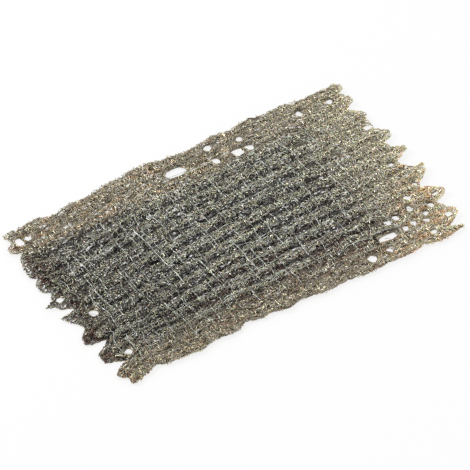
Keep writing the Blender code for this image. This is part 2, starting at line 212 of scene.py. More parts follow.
class ScouringKnitSettings(bpy.types.PropertyGroup):
    """The knitted wall of the cloth."""

    courses: bpy.props.IntProperty(
        name="Courses", default=104, min=8,
        description="Rows of loops from one cut end to the other")
    wales_over: bpy.props.IntProperty(
        name="Wales Over", default=64, min=8,
        description="Loops of one course in the upper layer, which is drawn tight")
    wales_under: bpy.props.IntProperty(
        name="Wales Under", default=40, min=8,
        description="Loops of one course in the lower layer, which is slack")
    loop_height: bpy.props.FloatProperty(
        name="Loop Height", default=3.1 * MM, unit="LENGTH",
        description="How far a loop reaches along the cloth, through the loops beside it")
    loop_belly: bpy.props.FloatProperty(
        name="Loop Belly", default=0.24, subtype="FACTOR", min=0, max=0.5,
        description="How far the sides of a loop bulge, as a share of its width")
    loop_depth: bpy.props.FloatProperty(
        name="Loop Depth", default=0.3 * MM, unit="LENGTH",
        description="How far a loop stands out from the wall and back into it")
    wire_width: bpy.props.FloatProperty(
        name="Wire Width", default=0.46 * MM, unit="LENGTH",
        description="Width of the flat wire, really 0.25 mm and drawn wider so that it shows")
    wire_thickness: bpy.props.FloatProperty(
        name="Wire Thickness", default=0.20 * MM, unit="LENGTH",
        description="Thickness of the flat wire at its ridge")
    crinkle: bpy.props.FloatProperty(
        name="Crinkle", default=0.34 * MM, unit="LENGTH",
        description="How far the crimps in the wire throw it off its loop")


class ScouringSteelSettings(bpy.types.PropertyGroup):
    """Colours of the wire."""

    shadow_steel: colour_setting(
        "Dull Steel", "#8f9088", "The wire where it keeps the grey of the drawing die")
    plain_steel: colour_setting(
        "Plain Steel", "#d8d6c4", "Most of the wire")
    # Partly painted glints: near-white flecks that stand for the flashes of the flat wire
    worn_and_glint_steel: colour_setting(
        "Rubbed Steel", "#fcfce4", "The flats that crimping has burnished")
    # Laid over the wire where the cloth is slack, which draws it paler and yellower there
    straw_steel: colour_setting(
        "Straw Steel", "#fcf4d9", "The wire where the cloth is slack and lies open to the air")
    # Painted shade: the straw wire's darker copy, for where it lies deep in the cloth
    inner_shade_straw: colour_setting(
        "Inner Straw", "#b1a894", "The same wire where it lies deep in the cloth")
    bright_steel: colour_setting(
        "Bright Steel", "#d6dbd3", "The round wires across the ropes")
    # Tan flecks laid over the wire behind, along the front edge and in the right corner
    tan_steel: colour_setting(
        "Tan Film", "#f9dbb4", "Flecks of the first rust on the straw-coloured wire")
    # Painted shade and warm reflection, drawn brown in flecks as rust is
    brown_shade_steel: colour_setting(
        "Brown Film", "#6e483b", "Older rust, between the layers and under them")
    # Painted shade: the deep wire's colour, nearly black for the shade between the layers
    inner_shade_steel: colour_setting(
        "Inner Steel", "#4a4546", "The wire between the layers, which nothing rubs bright")


class ScouringStageSettings(bpy.types.PropertyGroup):
    """Floor, lamps and camera."""

    floor_colour: colour_setting("Floor", "#f7f7f6", "Colour of the floor")
    floor_glow: bpy.props.FloatProperty(
        name="Floor Glow", default=0.8, subtype="FACTOR", min=0, max=1,
        description="Share of the floor that shows as plain white whatever the light")
    world_strength: bpy.props.FloatProperty(
        name="World Strength", default=0.6, min=0,
        description="Light from all sides, which itself shows as plain white")
    view_azimuth: bpy.props.FloatProperty(
        name="Azimuth", default=math.radians(-32.74), subtype="ANGLE",
        description="Side that the camera stands on, 0 at the front and positive to the right")
    view_elevation: bpy.props.FloatProperty(
        name="Elevation", default=math.radians(45.98), subtype="ANGLE",
        description="Height of the camera over the table, as an angle")
    view_distance: bpy.props.FloatProperty(
        name="Distance", default=2.0, unit="LENGTH",
        description="From the camera to the point that it looks at")
    view_width: bpy.props.FloatProperty(
        name="Field of View", default=math.radians(6.861), subtype="ANGLE",
        description="Width of the picture, as an angle")


# Smooth random and drawn curves

def wave(points, place):
    """Values read off a smooth wave through the points (place, value)."""
    places, values = np.array(points).T
    step = np.clip(np.searchsorted(places, place) - 1, 0, len(places) - 2)
    share = np.clip((place - places[step]) / (places[step + 1] - places[step]), 0, 1)
    turn = (1 - np.cos(np.pi * share)) / 2
    return values[step] + (values[step + 1] - values[step]) * turn


def ramp(value, start, end):
    """0 up to start, 1 from end, and smooth between them."""
    share = np.clip((value - start) / (end - start), 0, 1)
    return share * share * (3 - 2 * share)


def drift(number, size, x, y):
    """A smooth random field over the plan, with a spread of 1 and hills of about this size."""
    rng = np.random.default_rng(SEED + number)
    total = 0.0
    for _ in range(DRIFT_WAVES):
        angle, phase = rng.uniform(0, 2 * np.pi, 2)
        length = size * rng.uniform(*DRIFT_LENGTHS)
        total = total + np.sin((x * np.cos(angle) + y * np.sin(angle)) * 2 * np.pi / length + phase)
    return total * math.sqrt(2 / DRIFT_WAVES)


def crowded(count, crowding):
    """Places from -1 to 1, drawn together towards both ends."""
    span = np.linspace(-1, 1, count)
    return span * (1 + crowding) - crowding * span ** CROWDING_POWER


def crimps(rng, wires, points, evened):
    """Random throws along each wire, with a spread of 1, evened out over their neighbours."""
    throws = rng.standard_normal((wires, points, 3))
    for _ in range(evened):
        throws = (np.roll(throws, 1, axis=1) + 2 * throws + np.roll(throws, -1, axis=1)) / 4
    return throws / throws.std()


# The shape of the cloth, which all the wires share. Here x and y are measured from its middle

def slackness(x, y):
    """How slack the cloth is: 0 where it is drawn tight, in the middle, to 1 at its loose sides."""
    back = ramp(y, 38 * MM, 49 * MM) * SLACK_EDGES
    front = ramp(-y, 30 * MM, 58 * MM) * SLACK_EDGES
    right = ramp(x, 42 * MM, 92 * MM) * SLACK_RIGHT
    corner = ramp(x - y, 90 * MM, 135 * MM) * SLACK_CORNER
    return np.clip(np.maximum(np.maximum(back, front), right) + corner, 0, 1)


def tanning(x, y):
    """Where the wire is drawn tan: behind, most of all to the left, and in the right corner."""
    crest = 0.5 + 0.5 * np.cos(2 * np.pi * (y - TAN_ROPE) * ROPES / CLOTH_WIDTH)
    back = ramp(y, 38 * MM, 46 * MM) * (1 - TAN_BACK_LOSS * ramp(x, 0, 50 * MM))
    back = back * (TAN_GROOVE + (1 - TAN_GROOVE) * crest)
    front = ramp(-y, 35 * MM, 55 * MM) * TAN_FRONT
    corner = ramp(x - y, 85 * MM, 130 * MM) * (1 - TAN_TIP_LOSS * ramp(x, 92 * MM, 101 * MM))
    return np.maximum(np.maximum(back, front), corner)


def brown_shading(x, y):
    """Brown flecks of painted shade and warm reflection: most at the front and at the left end."""
    front = ramp(-y, 5 * MM, 40 * MM) * ramp(x, -90 * MM, 0) * BROWN_SHADE_FRONT
    front = front * (1 - BROWN_SHADE_RIGHT_LOSS * ramp(x, 45 * MM, 85 * MM))
    left = ramp(-x, 84 * MM, 104 * MM) * BROWN_SHADE_LEFT
    return np.maximum(front, left)


def calmness(x, y):
    """Where the grooves are weak though the cloth is tight: behind the middle and at both ends."""
    back = ramp(y, 12 * MM, 34 * MM) * ramp(x, -80 * MM, -20 * MM) * CALM_BACK
    left = ramp(-x, 35 * MM, 70 * MM) * CALM_ENDS
    right = ramp(x, 42 * MM, 80 * MM) * CALM_ENDS
    return np.maximum(np.maximum(back, left), right)


def painted_light_by_depth(x, y, z):
    """Painted light and shade: 1 where a wire lies on top or the cloth is open to the air, and 0
    where it is sunk and painted dark as shade.
    """
    on_top = ramp(np.abs(z - CLOTH_THICKNESS / 2), PAINTED_LIGHT_FROM, PAINTED_LIGHT_TO)
    on_top = on_top * (1 - PAINTED_LIGHT_LEFT_LOSS * ramp(-x, 20 * MM, 60 * MM))
    calm = calmness(x, y) * ramp(x, -60 * MM, 0) * OPEN_CALM
    left = ramp(-x, 90 * MM, 99 * MM) * OPEN_LEFT
    open_to_air = np.maximum(np.maximum(slackness(x, y) * OPEN_SLACK, calm), left)
    open_to_air = open_to_air + OPEN_CORNERS * ramp(x + np.abs(y), 90 * MM, 135 * MM)
    open_to_air = open_to_air + OPEN_FRONT * ramp(-y, 35 * MM, 55 * MM)
    open_to_air = open_to_air + OPEN_HEM * ramp(-y, 56 * MM, 61 * MM)
    return np.minimum(np.maximum(on_top, open_to_air), 1)


def colour_fields(x, y, z):
    """The values, from 0 to 1, by which a material tells the places of the cloth apart."""
    at_gap = np.max(gap_rims(x, y), axis=0)
    # At a wide gap's rim the slack and painted light fields are raised: painted light against the
    # shade round the gap
    return {"slack": np.maximum(slackness(x, y), GAP_RIM_LIGHT * at_gap),
            "brown_shade": brown_shading(x, y),
            "tanned": tanning(x, y),
            "painted_light": np.maximum(painted_light_by_depth(x, y, z), at_gap)}


def rung_swing(along):
    """1 at a rung and -1 halfway between two."""
    return np.cos(2 * np.pi * ((along + CLOTH_LENGTH / 2) / RUNG_PITCH - 0.5))


def relief(along, across):
    """Height of the ropes: 0 in a groove, 1 on top of a full rope."""
    rope = (0.5 - 0.5 * np.cos(2 * np.pi * ROPES * across)) ** ROPE_SHAPE
    at_edge = ramp(np.abs(across - 0.5), SLACK_RELIEF_FROM, SLACK_RELIEF_TO)
    full = 1 - (1 - SLACK_RELIEF) * at_edge
    knots = 0.5 + 0.5 * rung_swing(along + RUNG_PITCH / 2 * np.floor(ROPES * across))
    dip = KNOT_DEPTH / (CLOTH_THICKNESS - GROOVE_THICKNESS) * 2  # as a rope stands out both ways
    return full * rope * (1 - dip * knots)


def groove_pull(along, around, across):
    """How far loops are drawn away from the grooves, as a share of the width of the cloth."""
    y = (across - 0.5) * CLOTH_WIDTH
    held = RUNG_HOLD * (0.5 + 0.5 * rung_swing(along))
    taut = (1 - SLACK_PULL * slackness(along, y)) * (1 - calmness(along, y))
    uneven = 1 - held + UNEVEN_PULL * drift(1, UNEVEN_SIZE, along, around * CLOTH_WIDTH)
    turn = np.mod(2 * np.pi * ROPES * across + np.pi, 2 * np.pi) - np.pi
    away = np.tanh(turn / GROOVE_RIM) * (1 - np.abs(turn) / np.pi)
    return GROOVE_PULL * taut * np.clip(uneven, 0, MOST_PULL) * away / (2 * np.pi * ROPES)


def bunching(along, around, across):
    """How far wales draw together into strands of a rope, as a share of the cloth's width."""
    y = (across - 0.5) * CLOTH_WIDTH
    strands = drift(4, STRAND_SIZE, along * STRAND_STRETCH, around * CLOTH_WIDTH)
    at_edge = ramp(np.abs(y), 36 * MM, 48 * MM) * (1 - ramp(along, 42 * MM, 80 * MM))
    further = BUNCHING_SLACK * slackness(along, y) + BUNCHING_EDGE * at_edge
    free = ramp(np.minimum(across, 1 - across) * CLOTH_WIDTH, 0, BUNCHING_FOLD)
    return BUNCHING * (1 + further) * free * strands / CLOTH_WIDTH


def gap_reach(gap, x, y):
    """How far points are from the middle of a gap: along, across, and over all, 1 at its rim."""
    gap_x, gap_y, length, width = gap
    from_x = (x - gap_x * MM) / ((length + GAP_EXTRA[0]) * MM / 2)
    from_y = (y - gap_y * MM) / ((width + GAP_EXTRA[1]) * MM / 2)
    reach = (np.abs(from_x) ** GAP_SQUARE + np.abs(from_y) ** GAP_SQUARE) ** (1 / GAP_SQUARE)
    return from_x, from_y, np.maximum(reach, 1e-3)


def gap_rims(x, y):
    """For each wide gap, 1 up to its rim and less beyond it, down to 0 where the cloth is whole."""
    return [1 - ramp(gap_reach(gap, x, y)[2], 1, GAP_THIN_REACH) for gap in WIDE_GAPS]


def open_gaps(x, y, z):
    """Pushes the points of wires out of the wide gaps, and lowers them round about."""
    for _ in range(GAP_PASSES):
        for gap in WIDE_GAPS:
            _, _, reach = gap_reach(gap, x, y)
            push = (reach ** GAP_RIM + 1) ** (1 / GAP_RIM) / reach
            x = gap[0] * MM + (x - gap[0] * MM) * push
            y = gap[1] * MM + (y - gap[1] * MM) * push
    return x, y, z * (1 - GAP_THIN * np.minimum(sum(gap_rims(x, y)), 1))


def in_gap(points):
    """Whether points lie well inside a wide gap."""
    x, y = points[..., 0] - MIDDLE[0], points[..., 1] - MIDDLE[1]
    return np.any([gap_reach(gap, x, y)[2] < GAP_CUT for gap in WIDE_GAPS], axis=0)


def lay(along, around, out=0.0, level=1.0, pull=1.0, throw=None):
    """Points on the table for wire points along the ropes, round the tube and out from its wall.

    around is 0 at the front fold, 1 at the back fold over the upper layer, and 2 at the front
    again under the lower one. level is 1 in the wall and 0 halfway between the layers. pull is
    the share in which the grooves of the upper layer open, and below 0 draws wires into them.
    """
    around = np.mod(around, 2)
    over = around < 1
    across = np.where(over, around, 2 - around)
    turned = np.clip(1 - np.minimum(across, 1 - across) * CLOTH_WIDTH / FOLD_RADIUS, 0, 1)
    side = np.where(over, 1, -1) * np.sqrt(1 - turned ** 2)
    upper = (1 + side) / 2

    place = np.clip(along / CLOTH_LENGTH + 0.5, 0, 1)
    back = wave(BACK_EDGE, place) * MM * across ** EDGE_DEPTH
    front = wave(FRONT_EDGE, place) * MM * (1 - across) ** EDGE_DEPTH
    bend = ROPE_SAG * ((along - SAG_START) / (CLOTH_LENGTH / 2 + SAG_START)) ** 2
    bend = bend * np.sin(np.pi * across ** SAG_SKEW)
    pulled = groove_pull(along, around, across) + bunching(along, around, across)
    y = (across + pulled * pull * upper - 0.5) * CLOTH_WIDTH + back - front - bend
    y = y + np.where(across < 0.5, -1, 1) * turned * (FOLD_BULGE + out)

    beside = np.clip(y / CLOTH_WIDTH + 0.5, 0, 1)
    left = np.interp(beside, *np.transpose(LEFT_END)) * MM
    right = np.interp(beside, *np.transpose(RIGHT_END)) * MM
    behind = np.sqrt(np.sin(np.pi * np.clip(across, 0, 1)))
    left = left * (1 - (1 - STEP_TONGUES) * upper) - LEFT_STEP * behind * upper
    right = right * (1 - (1 - STEP_TONGUES) * (1 - upper)) - RIGHT_STEP * behind * (1 - upper)
    at_left = np.clip(1 - (CLOTH_LENGTH / 2 + along) / TONGUE_DEPTH, 0, 1) ** TONGUE_FADE
    at_right = np.clip(1 - (CLOTH_LENGTH / 2 - along) / TONGUE_DEPTH, 0, 1) ** TONGUE_FADE
    x = along + right * at_right - left * at_left

    half = (GROOVE_THICKNESS + (CLOTH_THICKNESS - GROOVE_THICKNESS) * relief(along, across)) / 2
    tongue = at_left * np.maximum(left, 0) + at_right * np.maximum(right, 0)
    z = CLOTH_THICKNESS / 2 + side * (half * level + out) + TIP_RISE * tongue / TIP_LENGTH

    x = x + DRIFT * drift(2, DRIFT_SIZE, x, y)
    y = y + DRIFT * drift(3, DRIFT_SIZE, x, y)
    points = np.stack(np.broadcast_arrays(x, y, z), axis=-1)
    if throw is not None:
        points = points + throw
    x, y, z = open_gaps(*np.moveaxis(points, -1, 0))
    return np.stack([x + MIDDLE[0], y + MIDDLE[1], z], axis=-1)


# Wires as meshes

def unit(vectors):
    """The vectors at a length of 1."""
    return vectors / np.maximum(np.linalg.norm(vectors, axis=-1, keepdims=True), 1e-12)


def wire_mesh(name, lines, width, thickness, turn, closed, torn):
    """A mesh of flat wires with three sides, one for each row of points in lines.

    width and thickness are lengths, or columns with one for each wire. turn is the angle by
    which the flat side is twisted at each point. A stretch between two points that is at least
    torn long has been torn by a gap, and is left out, as is one that crosses a gap.
    """
    wires, points, _ = lines.shape
    width, thickness = (np.broadcast_to(size, (wires, 1)) for size in (width, thickness))
    lines = lines.copy()
    lines[..., 2] = np.maximum(lines[..., 2], width / 2)
    width, thickness = width[..., None], thickness[..., None]
    ahead, behind = np.roll(lines, -1, axis=1), np.roll(lines, 1, axis=1)
    kept = np.linalg.norm(ahead - lines, axis=-1) < torn
    kept &= ~in_gap((lines + ahead) / 2)
    if not closed:
        kept[:, -1] = False
        ahead[:, -1], behind[:, 0] = lines[:, -1], lines[:, 0]
    run = unit(ahead - behind)
    flat = unit(np.cross(run, NEARLY_UP))
    up = np.cross(flat, run)
    turn = turn[..., None]
    flat, up = flat * np.cos(turn) + up * np.sin(turn), up * np.cos(turn) - flat * np.sin(turn)
    corners = np.stack([lines + flat * a * width + up * b * thickness
                        for a, b in ((-0.5, -1 / 3), (0.5, -1 / 3), (0.0, 2 / 3))], axis=2)

    number = np.arange(wires * points).reshape(wires, points)
    following = np.roll(number, -1, axis=1)
    start, end = number[kept] * 3, following[kept] * 3
    quads = np.concatenate([np.stack([start + (k + 1) % 3, start + k, end + k, end + (k + 1) % 3],
                                     axis=1) for k in range(3)])
    before = np.roll(kept, 1, axis=1)
    first, last = number[kept & ~before] * 3, number[before & ~kept] * 3
    caps = np.concatenate([np.stack([first, first + 1, first + 2], axis=1),
                           np.stack([last, last + 2, last + 1], axis=1)])

    used = np.zeros(wires * points * 3, bool)
    used[quads] = True
    renumbered = np.cumsum(used) - 1
    places = corners.reshape(-1, 3)[used]
    mesh = bpy.data.meshes.new(name)
    mesh.from_pydata(places.tolist(), [], renumbered[quads].tolist() + renumbered[caps].tolist())
    x, y, z = places.T
    for field, values in colour_fields(x - MIDDLE[0], y - MIDDLE[1], z).items():
        attribute = mesh.attributes.new(field, "FLOAT", "POINT")
        attribute.data.foreach_set("value", values.astype(np.float32))
    return mesh


def add_piece(mesh, make_wire):
    """Adds a mesh as a piece that stands for the solid cloth, in the material of make_wire."""
    if not mesh.polygons:
        raise RuntimeError(f"{mesh.name} has no wire")
    mesh.materials.append(shared_material(make_wire, bpy.context.scene.scouring_steel))
    piece = bpy.data.objects.new(mesh.name, mesh)
    bpy.context.scene.collection.objects.link(piece)
    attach(piece, "root")
    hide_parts(CAD_NODE)
    return piece


# Materials

def add_node(tree, kind, inputs=None, **settings):
    """Adds a node with its settings, and sets or links its sockets."""
    node = tree.nodes.new(kind)
    for name, value in settings.items():
        setattr(node, name, value)
    for socket, value in (inputs or {}).items():
        if isinstance(value, bpy.types.NodeSocket):
            tree.links.new(value, node.inputs[socket])
        else:
            node.inputs[socket].default_value = value
    return node


def add_pattern(tree, place, size, start, end, detail=2.0, roughness=0.5):
    """A random pattern with marks of this size, and the share, from 0 to 1, in which it shows."""
    noise = add_node(tree, "ShaderNodeTexNoise", {
        "Vector": place, "Scale": 1 / size, "Detail": detail, "Roughness": roughness})
    share = add_node(tree, "ShaderNodeMapRange", {
        "Value": noise.outputs["Fac"], "From Min": start, "From Max": end})
    return noise.outputs, share.outputs["Result"]


def shared_material(make, settings):
    """The material whose surface the function make draws, named after it and drawn only once."""
    name = make.__name__
    if name not in bpy.data.materials:
        material = bpy.data.materials.new(name)
        material.use_nodes = True
        tree = material.node_tree
        tree.nodes.clear()
        surface = make(tree, settings)
        add_node(tree, "ShaderNodeOutputMaterial", {"Surface": surface.outputs[0]})
    return bpy.data.materials[name]


def crimped_steel_wire(tree, steel):
    """Flat-drawn steel wire, crimped as it was knitted and never polished.

    The drawing die leaves it blue-grey and streaky, and crimping burnishes short flats, drawn as
    near-white flecks that are painted glints. Where the cloth is slack the wire is drawn paler and
    yellower.
    """
    place = add_node(tree, "ShaderNodeTexCoord").outputs["Object"]
    slack, painted_light, brown_shade, tanned = (
        add_node(tree, "ShaderNodeAttribute", attribute_name=field).outputs["Fac"]
        for field in ("slack", "painted_light", "brown_shade", "tanned"))

    # The die's streaks are far narrower than a wire, too fine to show, and are drawn coarser
    streaks, streak_share = add_pattern(tree, place, 1.2 * MM, 0.40, 0.58, roughness=0.6)

    # Burnished flats, drawn as near-white flecks that are painted glints, wherever the lamps are
    _, burnish_and_glint_share = add_pattern(tree, place, 0.9 * MM, 0.52, 0.64, detail=1.0)

    # Tan flecks, and brown flecks of painted shade, four times as long, along the ropes, as they
    # are wide
    drawn_out = add_node(tree, "ShaderNodeVectorMath", {
        0: place, 1: (0.25, 1.0, 1.0)}, operation="MULTIPLY")
    _, film_share = add_pattern(tree, drawn_out.outputs[0], 2.6 * MM, 0.50, 0.58, detail=1.5)
    straw_share, tan_share, brown_shade_share = (
        add_node(tree, "ShaderNodeMath", {0: one, 1: other}, operation="MULTIPLY").outputs[0]
        for one, other in ((slack, 0.72), (film_share, tanned), (film_share, brown_shade)))
    thin_brown_shade = add_node(tree, "ShaderNodeMath", {0: brown_shade_share, 1: 0.8}, operation="MULTIPLY")

    # Temper colours, which change along a wire: from cool to warm, and from pink to green. Their
    # specks are shorter than a pixel on the real wire, and are drawn coarser
    temper, temper_share = add_pattern(tree, place, 1.1 * MM, 0.38, 0.62, detail=1.0)
    cool_to_warm = add_node(tree, "ShaderNodeMix", {
        SHARE: temper_share, FIRST: (0.89, 0.94, 1.06, 1.0), SECOND: (1.09, 1.01, 0.84, 1.0)},
        data_type="RGBA")
    pink_to_green = add_node(tree, "ShaderNodeVectorMath", {
        0: temper["Color"], 1: (0.0, 0.8, 0.0), 2: (1.0, 0.6, 1.0)}, operation="MULTIPLY_ADD")

    # The wire that shows; then the deep wire, painted dark as shade and less so where the cloth is
    # slack, with the wire that shows laid over it in the share of painted light, the brown flecks
    # of painted shade and warm reflection, and the tints
    shown = steel.shadow_steel
    for share, colour in ((streak_share, steel.plain_steel), (burnish_and_glint_share, steel.worn_and_glint_steel),
                          (straw_share, steel.straw_steel), (tan_share, steel.tan_steel)):
        shown = add_node(tree, "ShaderNodeMix", {
            SHARE: share, FIRST: shown, SECOND: colour}, data_type="RGBA").outputs[MIXED]
    wire = steel.inner_shade_steel
    for share, colour, blend in ((slack, steel.inner_shade_straw, "MIX"),
                                 (painted_light, shown, "MIX"),
                                 (thin_brown_shade.outputs[0], steel.brown_shade_steel, "MIX"),
                                 (1.0, cool_to_warm.outputs[MIXED], "MULTIPLY"),
                                 (1.0, pink_to_green.outputs[0], "MULTIPLY")):
        wire = add_node(tree, "ShaderNodeMix", {
            SHARE: share, FIRST: wire, SECOND: colour},
            data_type="RGBA", blend_type=blend).outputs[MIXED]

    rough = add_node(tree, "ShaderNodeMapRange", {
        "Value": streaks["Fac"], "From Min": 0.3, "From Max": 0.7, "To Min": 0.28, "To Max": 0.48})
    return add_node(tree, "ShaderNodeBsdfPrincipled", {
        "Base Color": wire, "Metallic": 1.0, "Roughness": rough.outputs["Result"]})


def shaded_steel_wire(tree, steel):
    """The same wire between the layers, painted dull and nearly black for the shade in there."""
    place = add_node(tree, "ShaderNodeTexCoord").outputs["Object"]
    slack, brown_shade = (
        add_node(tree, "ShaderNodeAttribute", attribute_name=field).outputs["Fac"]
        for field in ("slack", "brown_shade"))
    _, fleck_share = add_pattern(tree, place, 1.2 * MM, 0.50, 0.64)
    _, patch_share = add_pattern(tree, place, 5 * MM, 0.42, 0.58, detail=3.0)
    # Brown patches of painted shade and warm reflection
    rust = add_node(tree, "ShaderNodeMath", {0: patch_share, 1: brown_shade}, operation="MULTIPLY")
    wire = steel.inner_shade_steel
    for share, colour in ((fleck_share, steel.shadow_steel), (rust.outputs[0], steel.brown_shade_steel),
                          (slack, steel.inner_shade_straw)):
        wire = add_node(tree, "ShaderNodeMix", {
            SHARE: share, FIRST: wire, SECOND: colour}, data_type="RGBA").outputs[MIXED]
    return add_node(tree, "ShaderNodeBsdfPrincipled", {
        "Base Color": wire, "Metallic": 1.0, "Roughness": 0.55})


def bright_steel_wire(tree, steel):
    """Round-drawn steel wire with its bright surface kept, which shows as thin pale lines."""
    place = add_node(tree, "ShaderNodeTexCoord").outputs["Object"]
    _, dull_share = add_pattern(tree, place, 5 * MM, 0.46, 0.66)
    wire = add_node(tree, "ShaderNodeMix", {
        SHARE: dull_share, FIRST: steel.bright_steel, SECOND: steel.shadow_steel},
        data_type="RGBA")
    return add_node(tree, "ShaderNodeBsdfPrincipled", {
        "Base Color": wire.outputs[MIXED], "Metallic": 1.0, "Roughness": 0.5})


def matt_white_board(tree, stage):
    """A sheet of matt white board: even and pale, and it takes the cloth's soft shadow."""
    path = add_node(tree, "ShaderNodeLightPath").outputs
    looked_at = add_node(tree, "ShaderNodeMath", {
        0: path["Is Camera Ray"], 1: path["Is Glossy Ray"]}, operation="MAXIMUM")
    seen = add_node(tree, "ShaderNodeMath", {
        0: looked_at.outputs[0], 1: path["Is Transmission Ray"]}, operation="MAXIMUM")
    share = add_node(tree, "ShaderNodeMath", {
        0: seen.outputs[0], 1: stage.floor_glow}, operation="MULTIPLY")
    board = add_node(tree, "ShaderNodeBsdfDiffuse", {"Color": stage.floor_colour})
    white = add_node(tree, "ShaderNodeEmission", {"Color": (1, 1, 1, 1), "Strength": 1.0})
    return add_node(tree, "ShaderNodeMixShader", {
        0: share.outputs[0], 1: board.outputs[0], 2: white.outputs[0]})


# Operators, one for each group of like pieces

class SCOURING_OT_stage(bpy.types.Operator):
    """Adds the floor, the lamps, the world and the camera"""

    bl_idname = "scouring.stage"
    bl_label = "Stage"

    FLOOR_SIZE = 40.0          # metres, so that its edges stay far off
    FLOOR_DROP = 0.02 * MM     # keeps it clear of the lowest wires
    TARGET = (MIDDLE[0] - 2.16 * MM, MIDDLE[1] + 0.24 * MM, 0.0)  # that the camera looks at
    SENSOR = 36.0              # width in millimetres, as the lens's length is given in them
    LAMPS = (  # name, place, side in metres, power in watts
        ("key_softbox", (-0.75, 0.55, 0.95), 0.60, 7.0),
        ("fill_softbox", (0.80, -0.55, 0.85), 0.50, 3.0),
        ("back_softbox", (0.45, 1.00, 0.60), 0.40, 2.2),
    )

    def execute(self, context):
        stage = context.scene.scouring_stage
        self.add_floor(stage)
        self.add_light(context, stage)
        self.add_camera(context, stage)
        context.scene.view_settings.view_transform = "Standard"
        return {"FINISHED"}

    def add_floor(self, stage):
        half = self.FLOOR_SIZE / 2
        mesh = bpy.data.meshes.new("floor")
        mesh.from_pydata([(x, y, -self.FLOOR_DROP) for x, y in
                          ((-half, -half), (half, -half), (half, half), (-half, half))],
                         [], [(0, 1, 2, 3)])
        mesh.materials.append(shared_material(matt_white_board, stage))
        floor = bpy.data.objects.new("floor", mesh)
        bpy.context.scene.collection.objects.link(floor)

    def add_light(self, context, stage):
        world = bpy.data.worlds.new("studio")
        world.use_nodes = True
        tree = world.node_tree
        tree.nodes.clear()
        path = add_node(tree, "ShaderNodeLightPath")
        strength = add_node(tree, "ShaderNodeMath", {
            0: path.outputs["Is Camera Ray"], 1: stage.world_strength}, operation="MAXIMUM")
        glow = add_node(tree, "ShaderNodeBackground", {
            "Color": (1, 1, 1, 1), "Strength": strength.outputs[0]})
        add_node(tree, "ShaderNodeOutputWorld", {"Surface": glow.outputs[0]})
        context.scene.world = world
        for name, place, side, power in self.LAMPS:
            lamp = bpy.data.lights.new(name, "AREA")
            lamp.shape = "SQUARE"
            lamp.size = side
            lamp.energy = power
            holder = bpy.data.objects.new(name, lamp)
            holder.location = place
            holder.rotation_mode = "QUATERNION"
            holder.rotation_quaternion = (-Vector(place)).to_track_quat("-Z", "Y")
            context.scene.collection.objects.link(holder)

    def add_camera(self, context, stage):
        data = bpy.data.cameras.new("camera")
        data.sensor_width = self.SENSOR
        data.lens = self.SENSOR / 2 / math.tan(stage.view_width / 2)
        camera = bpy.data.objects.new("camera", data)
        azimuth, elevation = stage.view_azimuth, stage.view_elevation
        back = Vector((math.sin(azimuth) * math.cos(elevation),
                       -math.cos(azimuth) * math.cos(elevation), math.sin(elevation)))
        camera.location = Vector(self.TARGET) + back * stage.view_distance
        camera.rotation_mode = "QUATERNION"
        camera.rotation_quaternion = (-back).to_track_quat("-Z", "Y")
        context.scene.collection.objects.link(camera)
        context.scene.camera = camera


class SCOURING_OT_knit(bpy.types.Operator):
    """Knits the wall of the cloth: rings of loops, each drawn through the ring before it"""

    bl_idname = "scouring.knit"
    bl_label = "Knitted Wall"

    SECTIONS = 4
    LOOP_POINTS = 9
    END_GAP = 1.5 * MM         # from the outermost ring to the end line
    END_CROWDING = 0.05        # draws the rings together at the ends, where tongues spread them
    CRINKLE_OUT = 0.8          # throw of the crimps out of the wall, as a share of that along it
    TWIST = math.radians(60)   # spread of the angles by which crimping twists the wire
    TORN = 2.2 * MM            # length from which a stretch of wire counts as torn by a gap

    def execute(self, context):
        knit = context.scene.scouring_knit
        rng = np.random.default_rng(SEED)
        ring = crowded(knit.courses, self.END_CROWDING)[:, None]
        ring = ring * ((CLOTH_LENGTH - knit.loop_height) / 2 - self.END_GAP)
        over = np.arange(knit.wales_over * self.LOOP_POINTS) / self.LOOP_POINTS
        under = np.arange(knit.wales_under * self.LOOP_POINTS) / self.LOOP_POINTS
        loop = np.concatenate([over, under + knit.wales_over])[None, :]
        place = np.concatenate([over / knit.wales_over, 1 + under / knit.wales_under])[None, :]
        width = np.where(place < 1, 1 / knit.wales_over, 1 / knit.wales_under)
        turn = 2 * np.pi * (loop + rng.uniform(-0.5, 0.5, (knit.courses, 1)))
        points = loop.size

        along = ring + knit.loop_height / 2 * np.cos(turn)
        around = place + width * knit.loop_belly * np.sin(2 * turn)
        out = knit.loop_depth * (np.cos(2 * turn) - 1)
        throw = crimps(rng, knit.courses, points, evened=1) * knit.crinkle
        throw[..., 2] *= self.CRINKLE_OUT
        twist = crimps(rng, knit.courses, points, evened=2)[..., 0] * self.TWIST
        lines = lay(along, around, out, throw=throw)

        for number, rings in enumerate(np.array_split(np.arange(knit.courses), self.SECTIONS), 1):
            mesh = wire_mesh(f"knit_{number}", lines[rings], knit.wire_width, knit.wire_thickness,
                             twist[rings], closed=True, torn=self.TORN)
            piece = add_piece(mesh, crimped_steel_wire)
        return {"FINISHED"}


